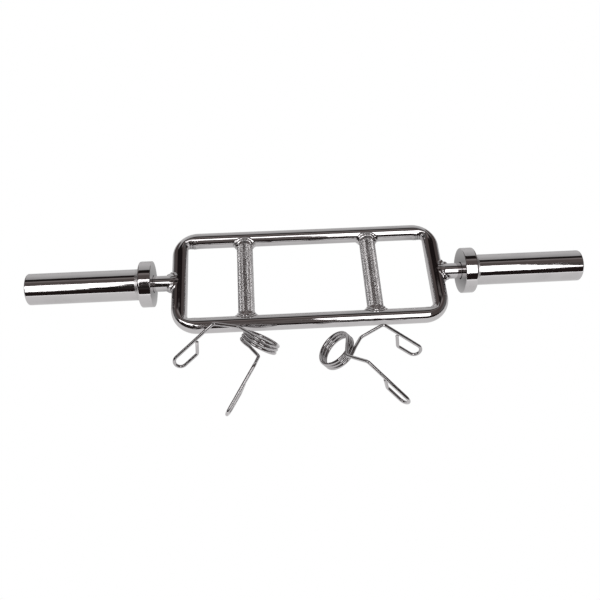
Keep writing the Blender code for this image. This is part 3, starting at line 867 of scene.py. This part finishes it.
def make_bolt(label, side):
    """A socket screw: a turned outline whose inmost rings are pushed out to a hexagon."""
    node = f"{label}_end_bolt"
    start, end, radius = turned_extent(node)
    washer_face = turned_extent(f"{label}_retaining_washer")[1]
    head = washer_face + JOURNAL_GAP
    shank = outline([(0, start), (BOLT_RADIUS, start), (BOLT_RADIUS, head), (radius, head),
                     (radius, end), (SOCKET_FLATS / 2, end)],
                    [0, BOLT_EDGE, HIDDEN_EDGE, HIDDEN_EDGE, BOLT_EDGE, 0], closed=False)
    grid = turned_grid(shank, side, BOLT_SIDES)
    angles = np.linspace(0, 2 * pi, BOLT_SIDES, endpoint=False)
    flats = SOCKET_FLATS / 2 / np.cos((angles + pi / 6) % (pi / 3) - pi / 6)
    rims = [(flats, end), (flats, end - SOCKET_DEPTH), (0 * flats, end - SOCKET_DEPTH)]
    hexagon = np.stack([np.stack([side * place + 0 * flats, BAR_Y + size * np.sin(angles),
                                  BAR_HEIGHT + size * np.cos(angles)], axis=-1)
                        for size, place in rims])
    return stand_in(make_piece(f"{node}_turned", np.concatenate([grid[:-1], hexagon]), STEEL),
                    node)


RUNNING_BORE = JOURNAL_RADIUS + JOURNAL_GAP
for label, side in SIDES.items():
    make_spindle(label, side)
    make_bolt(label, side)
    for part, bore, finish in (("thrust_washer", RUNNING_BORE, STEEL),
                               ("inner_bush", RUNNING_BORE, BRONZE),
                               ("outer_bush", RUNNING_BORE, BRONZE),
                               ("retaining_washer", BOLT_HOLE, STEEL)):
        start, end, radius = turned_extent(f"{label}_{part}")
        make_ring(f"{label}_{part}", side, bore, start, end, radius, HIDDEN_EDGE,
                  HIDDEN_EDGE, finish)
print("two spindles with their washers, bushes and bolts")

# %% [markdown]
# Each sleeve's mouth is closed by a pushed-in plastic cap. The photograph doesn't show it, so
# it stays plain: a slight crown, a turned step near the rim and a small gate mark in the
# middle, as moulded caps have.

# %% End caps
CAP_CROWN = 0.0008
CAP_STEP = 0.0004
CAP_EDGE = 0.0005
CAP_STEP_EDGE = 0.0003
STEP_INNER, STEP_OUTER = 0.72, 0.76      # of the cap's radius
GATE_INNER, GATE_OUTER = 0.0016, 0.0021  # radii of the gate mark's sunk middle and its rim
GATE_EDGE = 0.0002

for label, side in SIDES.items():
    node = f"{label}_end_cap"
    start, end, radius = turned_extent(node)
    line = outline([(0, end - CAP_STEP), (GATE_INNER, end - CAP_STEP), (GATE_OUTER, end),
                    (radius * STEP_INNER, end - CAP_CROWN / 2),
                    (radius * STEP_OUTER, end - CAP_CROWN / 2 - CAP_STEP),
                    (radius, end - CAP_CROWN - CAP_STEP), (radius, start), (0, start)],
                   [0, GATE_EDGE, GATE_EDGE, CAP_STEP_EDGE, CAP_STEP_EDGE, CAP_EDGE, CAP_EDGE,
                    0], closed=False)
    cap = stand_in(make_piece(f"{node}_moulding", turned_grid(line, side), PLASTIC), node)
print(f"two end caps of {len(cap.data.polygons)} faces")

# %% [markdown]
# A spring clip is one length of wire: three turns of coil, and from each end a lead, an arm,
# a long handle and a finger loop that comes back as a hook. A curve drawn over the photograph
# would look right from one side only, and its coil wouldn't lie round the CAD model's joint.
# So the path's sizes repeat the part's source, in a frame of the clip's own that has the
# coil's axis along Z. The way the clip lies comes from levelling it on the lowest points of
# its coil and two handles.

# %% Clip wire
WIRE_RADIUS = 0.0025
COIL_RADIUS = 0.0270           # centre line of the wire
COIL_PITCH = 0.00545
COIL_TURNS = 3                 # whole turns, before the two end angles
NEAR_END_ANGLE = radians(-84.0)
FAR_END_ANGLE = radians(-97.7)
LEAD_STRAIGHT = 0.0080         # wire still in line with the coil's end
LEAD_LENGTH = 0.0292           # coil end to the first bend
ARM_LENGTH = 0.0388            # first bend to the second
NEAR_HANDLE_LENGTH = 0.0839
FAR_HANDLE_LENGTH = 0.0778
LOOP_WIDTH = 0.0192            # finger loop, centre to centre
LOOP_RETURN = 0.0338
HOOK_LENGTH = 0.0208
LEG_BENDS = (0.0150, 0.0065, 0.0060, LOOP_WIDTH * 0.49, LOOP_WIDTH * 0.49, 0.0050)
NEAR_WAYS = {"lead": (-1.00, -0.06, -0.04), "arm": (-0.46, -0.85, -0.26),
             "handle": (-0.30, -0.21, -0.93), "loop": (0.38, 0.87, -0.32),
             "hook": (-0.08, -0.50, 0.86)}
FAR_WAYS = {"lead": (0.99, -0.07, -0.16), "arm": (0.49, -0.86, -0.16),
            "handle": (0.05, -0.20, -0.98), "loop": (-0.38, 0.91, -0.20),
            "hook": (0.24, -0.52, 0.82)}
CLIP_SPREAD = radians(4.9)     # how far each handle stands from the middle setting
CLIPS = {"right": ((-32.1, -32.0, 67.0), -CLIP_SPREAD),
         "left": ((-43.3, 14.4, -46.5), CLIP_SPREAD)}
UP = np.array([0.0, 0.0, 1.0])
LEVEL_ROUNDS = 12
LEVEL_ENOUGH = 1e-9            # radians


def coil_path(spread, steps_a_turn):
    """Wound wire from its far end to its near end, as bent_path gives a path.

    A point at angle a and rise h is (R cos a, R sin a, h). The coil winds clockwise as it
    climbs, and its section's normal points away from the coil's axis."""
    near = NEAR_END_ANGLE - spread
    far = FAR_END_ANGLE + spread
    sweep = 2 * pi * COIL_TURNS - (near - far)
    rise = COIL_PITCH * sweep / (2 * pi)
    steps = round(steps_a_turn * sweep / (2 * pi))
    share = np.linspace(0, 1, steps + 1)
    angles = far - sweep * share
    points = np.stack([COIL_RADIUS * np.cos(angles), COIL_RADIUS * np.sin(angles),
                       rise * (share - 0.5)], axis=-1)
    ways = unit(np.stack([COIL_RADIUS * np.sin(angles), -COIL_RADIUS * np.cos(angles),
                          np.full_like(angles, COIL_PITCH / (2 * pi))], axis=-1))
    normals = np.stack([np.cos(angles), np.sin(angles), 0 * angles], axis=-1)
    return points, ways, normals


def leg_corners(root, along, ways, handle_length, spread):
    """Corner points of a lead, arm, handle, finger loop and hook, from the coil's end."""
    turn = [turned_about(np.array(way), UP, [spread])[0] for way in ways.values()]
    lead, arm, handle, loop, hook = unit(turn)
    first_bend = root + lead * LEAD_LENGTH
    second_bend = first_bend + arm * ARM_LENGTH
    loop_start = second_bend + handle * handle_length
    loop_end = loop_start + loop * LOOP_WIDTH
    hook_start = loop_end - handle * LOOP_RETURN
    hook_end = hook_start + hook * HOOK_LENGTH
    return np.array([root + along * 2 * WIRE_RADIUS, root + along * LEAD_STRAIGHT,
                     first_bend, second_bend, loop_start, loop_end, hook_start, hook_end])


def rotation_matrix(vector_degrees):
    """The matrix of a rotation vector, by turning each of the three axes."""
    vector = np.radians(vector_degrees)
    angle = np.linalg.norm(vector)
    return np.stack([turned_about(axis, vector / angle, [angle])[0] for axis in np.eye(3)],
                    axis=1)


def levelled(paths, turn):
    """Turns a clip until the plane through the lowest point of each path is level."""
    for _ in range(LEVEL_ROUNDS):
        feet = []
        for path in paths:
            placed = path @ turn.T
            feet.append(placed[np.argmin(placed[:, 2])])
        normal = unit(np.cross(feet[1] - feet[0], feet[2] - feet[0]))
        normal = normal * np.sign(normal[2])
        axis = np.cross(normal, UP)
        angle = asin(np.linalg.norm(axis))
        if angle > LEVEL_ENOUGH:
            axis = unit(axis)
            turn = np.stack([turned_about(column, axis, [angle])[0] for column in turn.T],
                            axis=1)
    return turn


print(f"clip wire {WIRE_RADIUS * 2000:.0f} mm thick, coil {COIL_RADIUS * 2000:.0f} mm across")

# %% [markdown]
# The coil and both handles are separate pieces, because the handles turn against each other
# about the coil's axis while the coil winds up between them. Each handle rides its own body.
# The coil stays where it lies. Cut ends have a small chamfer, as cropped and tumbled wire has.

# %% Clips
WIRE_SIDES = 28
COIL_STEPS = 90
WIRE_RUN_STEP = 0.0040
WIRE_ARC_STEP = radians(4)
WIRE_CHAMFER = 0.0005


def wire_leg(corners):
    """The swept wire of one handle, its free end chamfered, and its centre line."""
    toward = corners[1] - corners[0]
    sideways = np.cross(toward, UP)
    points, normals, binormals, _ = bent_path(corners, LEG_BENDS, WIRE_RUN_STEP,
                                              WIRE_ARC_STEP, sideways)
    way = unit(points[-1] - points[-2])
    points = np.insert(points, -1, points[-1] - way * WIRE_CHAMFER, axis=0)
    normals = np.insert(normals, -1, normals[-1], axis=0)
    binormals = np.insert(binormals, -1, binormals[-1], axis=0)
    radius = np.full((len(points), 1), WIRE_RADIUS)
    radius[-1] -= WIRE_CHAMFER
    return tube(points, normals, binormals, radius, WIRE_SIDES), points


for label, (turn_degrees, spread) in CLIPS.items():
    joint = JOINTS[f"{label}_clip_squeeze"]
    centre, axis = np.array(joint["pos_m"]), unit(joint["axis"])
    points, ways, normals = coil_path(spread, COIL_STEPS)
    near = leg_corners(points[-1], ways[-1], NEAR_WAYS, NEAR_HANDLE_LENGTH, -spread)
    far = leg_corners(points[0], -ways[0], FAR_WAYS, FAR_HANDLE_LENGTH, spread)
    (near_grid, near_line), (far_grid, far_line) = wire_leg(near), wire_leg(far)
    lines = [points, near_line, far_line]
    turn = levelled(lines, rotation_matrix(turn_degrees))
    centre[2] = WIRE_RADIUS - min((line @ turn.T)[:, 2].min() for line in lines)
    tail = 2 * WIRE_RADIUS
    points = np.concatenate([[points[0] - ways[0] * tail], points,
                             [points[-1] + ways[-1] * tail]])
    ways = np.concatenate([ways[:1], ways, ways[-1:]])
    normals = np.concatenate([normals[:1], normals, normals[-1:]])
    coil_grid = tube(points, normals, np.cross(ways, normals), WIRE_RADIUS, WIRE_SIDES)
    for part, grid in (("near_handle", near_grid), ("far_handle", far_grid)):
        node = f"{label}_clip_{part}"
        stand_in(make_piece(f"{node}_wire", grid @ turn.T + centre, WIRE), node)
    node = f"{label}_clip_coil"
    coil = make_piece(f"{node}_wire", coil_grid @ turn.T + centre, WIRE)
    half = points[-2, 2] - WIRE_RADIUS
    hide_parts(node)
    tuple(centre - axis * half)
    tuple(centre + axis * half)
    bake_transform(coil)
    print(f"{coil.name}: axis off the joint's by "
          f"{np.degrees(np.arccos(np.clip(turn @ UP @ axis, -1, 1))):.3f} degrees")

# %% [markdown]
# The photograph shows the bar on white with no shadow. A matt floor under lamps would catch
# one, so this floor gives its own light: white to the camera, and in reflections a light grey
# that is brightest in front of the bar, near the lamp, and darkest behind it and round the
# collars' feet. It ends a short way ahead of the bar, which is what puts the black line
# between floor and lamp in every bar.

# %% Floor
FLOOR_FRONT = -0.32
FLOOR_BACK = 4.0
FLOOR_HALF_WIDTH = 4.0
FLOOR_LEVELS = ((-0.31, 1.80), (-0.19, 0.95), (-0.06, 0.82), (0.26, 0.62))  # (y, brightness)
SHADE = 0.70                   # share of the light lost round a collar's foot
SHADE_PLACE = (0.222, BAR_Y + 0.035)
SHADE_SIZE = (0.036, 0.060)
WHITE = grey(1.0)


def stage_sheet(name, points, faces, strength, colour=WHITE, seen=True):
    """A glowing sheet that belongs to the studio. The function strength works out how bright
    it is from its graph and place, and only a seen sheet shows to the camera."""
    mesh = bpy.data.meshes.new(name)
    mesh.from_pydata(points, [], faces)
    material, graph, place = new_material(f"{name}_surface")
    graph.close("ShaderNodeEmission", {"Color": (*colour, 1.0),
                                       "Strength": strength(graph, place)})
    mesh.materials.append(material)
    sheet = placed_object(name, mesh)
    sheet.visible_camera = seen
    return sheet


def floor_strength(graph, place):
    """One to the camera. To all else it goes smoothly from level to level towards the back,
    and loses SHADE exp(-(dx^2 + dy^2)) round each collar's foot, dx and dy in shade sizes."""
    aside, back = graph.axis(place, "X"), graph.axis(place, "Y")
    level = FLOOR_LEVELS[0][1]
    for (low, first), (high, second) in zip(FLOOR_LEVELS, FLOOR_LEVELS[1:]):
        level = graph.between(back, low, high, 0.0, second - first) + level
    beside = (abs(aside) - SHADE_PLACE[0]) / SHADE_SIZE[0]
    behind = (back - SHADE_PLACE[1]) / SHADE_SIZE[1]
    shade = (-(beside * beside + behind * behind)).exponent() * SHADE
    to_camera = graph.node("ShaderNodeLightPath", output="Is Camera Ray")
    return to_camera + (1 - to_camera) * level * (1 - shade)


edges = ((-1, FLOOR_FRONT), (1, FLOOR_FRONT), (1, FLOOR_BACK), (-1, FLOOR_BACK))
stage_sheet("studio_floor", [(side * FLOOR_HALF_WIDTH, y, 0.0) for side, y in edges],
            [(0, 1, 2, 3)], floor_strength)
print(f"floor from y {FLOOR_FRONT} to {FLOOR_BACK}")

# %% [markdown]
# Polished metal is lit by what it mirrors. Area lamps alone would show as bright squares in
# a void, so the whole studio is a sky painted by direction. For a bar along X, what matters
# is the angle round X: from the front horizon up over the lamp to the ceiling and down the
# back wall. A ramp over that angle holds a dim room, a ceiling that brightens to the black
# line where it ends, and a grey back wall. Far out to either side the room is dark, which is
# what the short sides show. Below the lamp a black gap is laid over all of this. The lamp
# itself is one long white panel with crumpled edges, and goes on top.

# %% Studio light
LAMP = 3.0
GAP = (0.018, 0.012, 0.012)
ROOM = (0.085, 0.075, 0.072)
CEILING_LOW = (0.120, 0.100, 0.096)
CEILING_HIGH = (0.300, 0.272, 0.266)
LINE = (0.015, 0.011, 0.011)
WALL_LOW = grey(0.46)
WALL_HIGH = grey(0.66)
SIDE_DARK = (0.098, 0.080, 0.077)
SIDE_FAR = grey(0.14)
BANDS = ((-180, ROOM), (62, ROOM), (68, CEILING_LOW), (86, CEILING_LOW), (98, CEILING_HIGH),
         (101, LINE), (117, LINE), (120, WALL_LOW), (155, WALL_HIGH), (180, WALL_HIGH))
LAMP_TOP = 66                  # degrees round X
LAMP_BOTTOM = 25
LAMP_EDGE = 1                  # degrees, half the width of the soft edge
LAMP_LEFT, LAMP_RIGHT = -0.82, 0.55      # share of the ray's way that is sideways
LAMP_END = 0.02
LAMP_TAPER_FROM = 0.355        # the panel narrows to the right of this
TAPER_TOP, TAPER_BOTTOM = 340, 100       # degrees lost for each unit sideways
GAP_EDGE = 2                   # degrees
GAP_WIDENS_FROM = 0.36         # the black gap grows to the left of this
GAP_WIDENS = 55                # degrees for each unit sideways
SIDE_FROM, SIDE_FULL = 0.46, 0.54        # sideways, where the room turns dark
FAR_FROM, FAR_FULL = 0.78, 0.90
CRUMPLES = 170                 # crumples in a unit sideways
CRUMPLES_UP = 0.05             # crumples in a degree
CRUMPLE_HEIGHT = 9             # degrees
CRUMPLE_DETAIL, CRUMPLE_ROUGHNESS = 3.0, 0.6
TOP_CRUMPLE = 0.6              # of the bottom edge's
HALF_TURN, FULL_TURN = 180, 360          # degrees


def lamp_cover(graph, x, angle, over_gap):
    """One on the lamp, which lies between bottom = B + taper and top = T - taper."""
    spread = graph.node("ShaderNodeCombineXYZ", {},
                        {"X": x * CRUMPLES, "Y": angle * CRUMPLES_UP})
    noise = graph.noise(spread, 1.0, CRUMPLE_DETAIL, CRUMPLE_ROUGHNESS)
    crumple = (noise - 0.5) * (2 * CRUMPLE_HEIGHT)
    taper = (x - LAMP_TAPER_FROM).at_least(0)
    over_bottom = over_gap + crumple - taper * TAPER_BOTTOM
    under_top = -angle + crumple * TOP_CRUMPLE - taper * TAPER_TOP + LAMP_TOP
    return (graph.between(over_bottom, -LAMP_EDGE, LAMP_EDGE)
            * graph.between(under_top, -LAMP_EDGE, LAMP_EDGE)
            * graph.between(x, LAMP_LEFT, LAMP_LEFT + LAMP_END)
            * graph.between(x, LAMP_RIGHT, LAMP_RIGHT - LAMP_END))


def paint_studio():
    """The world's colour from the ray's direction: the angle round X picks the band."""
    world = bpy.data.worlds.new("studio")
    bpy.context.scene.world = world
    graph = Graph(world)
    ray = graph.node("ShaderNodeTexCoord", output="Generated")
    x, y, z = (graph.axis(ray, letter) for letter in "XYZ")
    angle = z.maths("ARCTAN2", z, -y) * (HALF_TURN / pi)
    stops = [((degrees + HALF_TURN) / FULL_TURN, colour) for degrees, colour in BANDS]
    bands = graph.node("ShaderNodeValToRGB", {"stops": stops}, {"Fac": angle / FULL_TURN + 0.5})
    aside = abs(x)
    side = graph.mix(graph.between(aside, FAR_FROM, FAR_FULL), SIDE_DARK, SIDE_FAR)
    room = graph.mix(graph.between(aside, SIDE_FROM, SIDE_FULL), bands, side)
    widening = (-x - GAP_WIDENS_FROM).at_least(0) * GAP_WIDENS
    over_gap = angle - widening - LAMP_BOTTOM
    room = graph.mix(graph.between(over_gap, -GAP_EDGE, GAP_EDGE), GAP, room)
    lit = graph.mix(lamp_cover(graph, x, angle, over_gap), room, grey(LAMP))
    to_camera = graph.node("ShaderNodeLightPath", output="Is Camera Ray")
    graph.close("ShaderNodeBackground", {"Color": graph.mix(to_camera, lit, WHITE),
                                         "Strength": 1.0}, "ShaderNodeOutputWorld")


paint_studio()
bpy.context.scene.view_settings.view_transform = "Standard"
print(f"studio of {len(BANDS)} bands and one lamp")

# %% [markdown]
# A few dark things are near enough for every bar to see them in another place, so they are
# sheets of their own. The camera's stand rises behind the camera and leans forward over it.
# It covers the lower part of the lamp in the middle, and its darker arm on the left hides
# more of it from the left collar. A small card hangs close over the front rail. It hides the
# rest of the lamp from that rail, and leaves the rear rail a thin strip. Two black cards
# near the clips give their wires dark cores.

# %% Camera stand and cards
STAND_LEVEL = (0.135, 0.119, 0.115)
STAND_PROFILE = ((-1.30, 0.50), (-1.10, 1.00), (-0.357, 1.066))   # (y, z), foot to top edge
STAND_TOPS = ((-1.70, -0.55), (-1.40, -0.60), (-1.20, -0.68), (-1.03, -0.82), (-0.96, -1.24),
              (-0.86, -1.27), (-0.76, -1.20), (-0.66, -1.11), (-0.615, -1.02), (-0.565, -0.76),
              (-0.51, -0.70), (-0.48, -0.56), (-0.45, -0.62), (-0.43, -1.00), (-0.33, -1.10),
              (-0.31, -0.62), (0.08, -0.60), (0.12, -0.86), (0.16, -0.98), (0.20, -1.20),
              (0.28, -1.20), (0.31, -1.29))                       # (x, y)
ARM_FROM, ARM_DARKER = -0.36, 0.33
CARDS = {  # left and right edges, front and back edges, height and brightness
    "rail_card": ((-0.29, 0.035), (-0.30, -0.15), 0.46, 1.0),
    "left_clip_card": ((-0.42, -0.27), (-0.34, -0.155), 0.20, 0.25),
    "right_clip_card": ((0.10, 0.36), (-0.62, -0.36), 0.20, 0.25)}
SHEET_COLUMNS = 1100
SHEET_ROWS = 24
JITTER = 0.050                 # of the top edge's height, and so are the waves below
JITTER_WAVES = 40              # radians for each of those heights along the edge
JITTER_HARMONICS = (2.3, 7.1, 17, 29)
JITTER_SEED = 5
# Soft patches of painted light and shade over the glow of the stand and the cards.
SHADING_PATCH_SCALE, SHADING_PATCH_DETAIL, SHADING_PATCH_ROUGHNESS = 9, 3.0, 0.6
SHADING_PATCH_FROM, SHADING_PATCH_TO = 0.30, 0.70        # levels of the noise at the two ends of the painted shading
PAINTED_SHADE_LEVEL, PAINTED_LIGHT_LEVEL = 0.55, 1.45     # brightness there
ARM_EDGE = 0.04


def make_sheet(name, profile, tops, level=1.0):
    """A curtain of quads: at each x the profile is cut off at its own y, jittered a little."""
    x = np.linspace(tops[0][0], tops[-1][0], SHEET_COLUMNS)
    height = profile[-1][1]
    ragged = JITTER * height * wander(x * JITTER_WAVES / height, JITTER_SEED, JITTER_HARMONICS)
    top = np.minimum(np.interp(x, *np.transpose(tops)) + ragged, profile[-1][0])
    y = np.linspace(profile[0][0], top, SHEET_ROWS)
    z = np.interp(y, *np.transpose(profile))
    grid = np.stack([x + 0 * y, y, z], axis=-1)
    index = np.arange(y.size).reshape(y.shape)
    quads = np.stack([index[:-1, :-1], index[:-1, 1:], index[1:, 1:], index[1:, :-1]], axis=-1)

    def strength(graph, place):
        """Painted light and shade in soft patches, and darker on the stand's arm."""
        noise = graph.noise(place, SHADING_PATCH_SCALE, SHADING_PATCH_DETAIL, SHADING_PATCH_ROUGHNESS)
        painted_shading = graph.between(noise, SHADING_PATCH_FROM, SHADING_PATCH_TO, PAINTED_SHADE_LEVEL, PAINTED_LIGHT_LEVEL) * level
        return painted_shading * graph.between(graph.axis(place, "X"), ARM_FROM - ARM_EDGE,
                                     ARM_FROM + ARM_EDGE, ARM_DARKER, 1.0)

    return stage_sheet(name, grid.reshape(-1, 3).tolist(), quads.reshape(-1, 4).tolist(),
                       strength, STAND_LEVEL, seen=False)


sheets = [make_sheet("camera_stand", STAND_PROFILE, STAND_TOPS)]
for name, ((left, right), (front, back), height, level) in CARDS.items():
    sheets.append(make_sheet(name, ((front, height), (back, height)),
                             ((left, back), (right, back)), level))
print(f"{len(sheets)} sheets of {len(sheets[0].data.polygons)} faces each")

# %% [markdown]
# The camera stands where the photograph was taken from: about a metre away, a little left
# of the middle, looking 43 degrees down.

# %% Camera
CAMERA_PLACE = (-0.06856, -0.73084, 0.75574)
CAMERA_AZIMUTH = radians(3.84)
CAMERA_ELEVATION = radians(43.39)
CAMERA_LENS = 40.10            # mm
CAMERA_SENSOR = 36             # mm
CAMERA_NEAREST = 0.01

camera = placed_object("camera", bpy.data.cameras.new("camera"))
camera.location = CAMERA_PLACE
camera.rotation_euler = (pi / 2 - CAMERA_ELEVATION, 0, -CAMERA_AZIMUTH)
camera.data.lens = CAMERA_LENS
camera.data.sensor_width = CAMERA_SENSOR
camera.data.clip_start = CAMERA_NEAREST
bpy.context.scene.camera = camera
print(f"camera {sqrt(sum(v * v for v in CAMERA_PLACE)):.2f} m away")
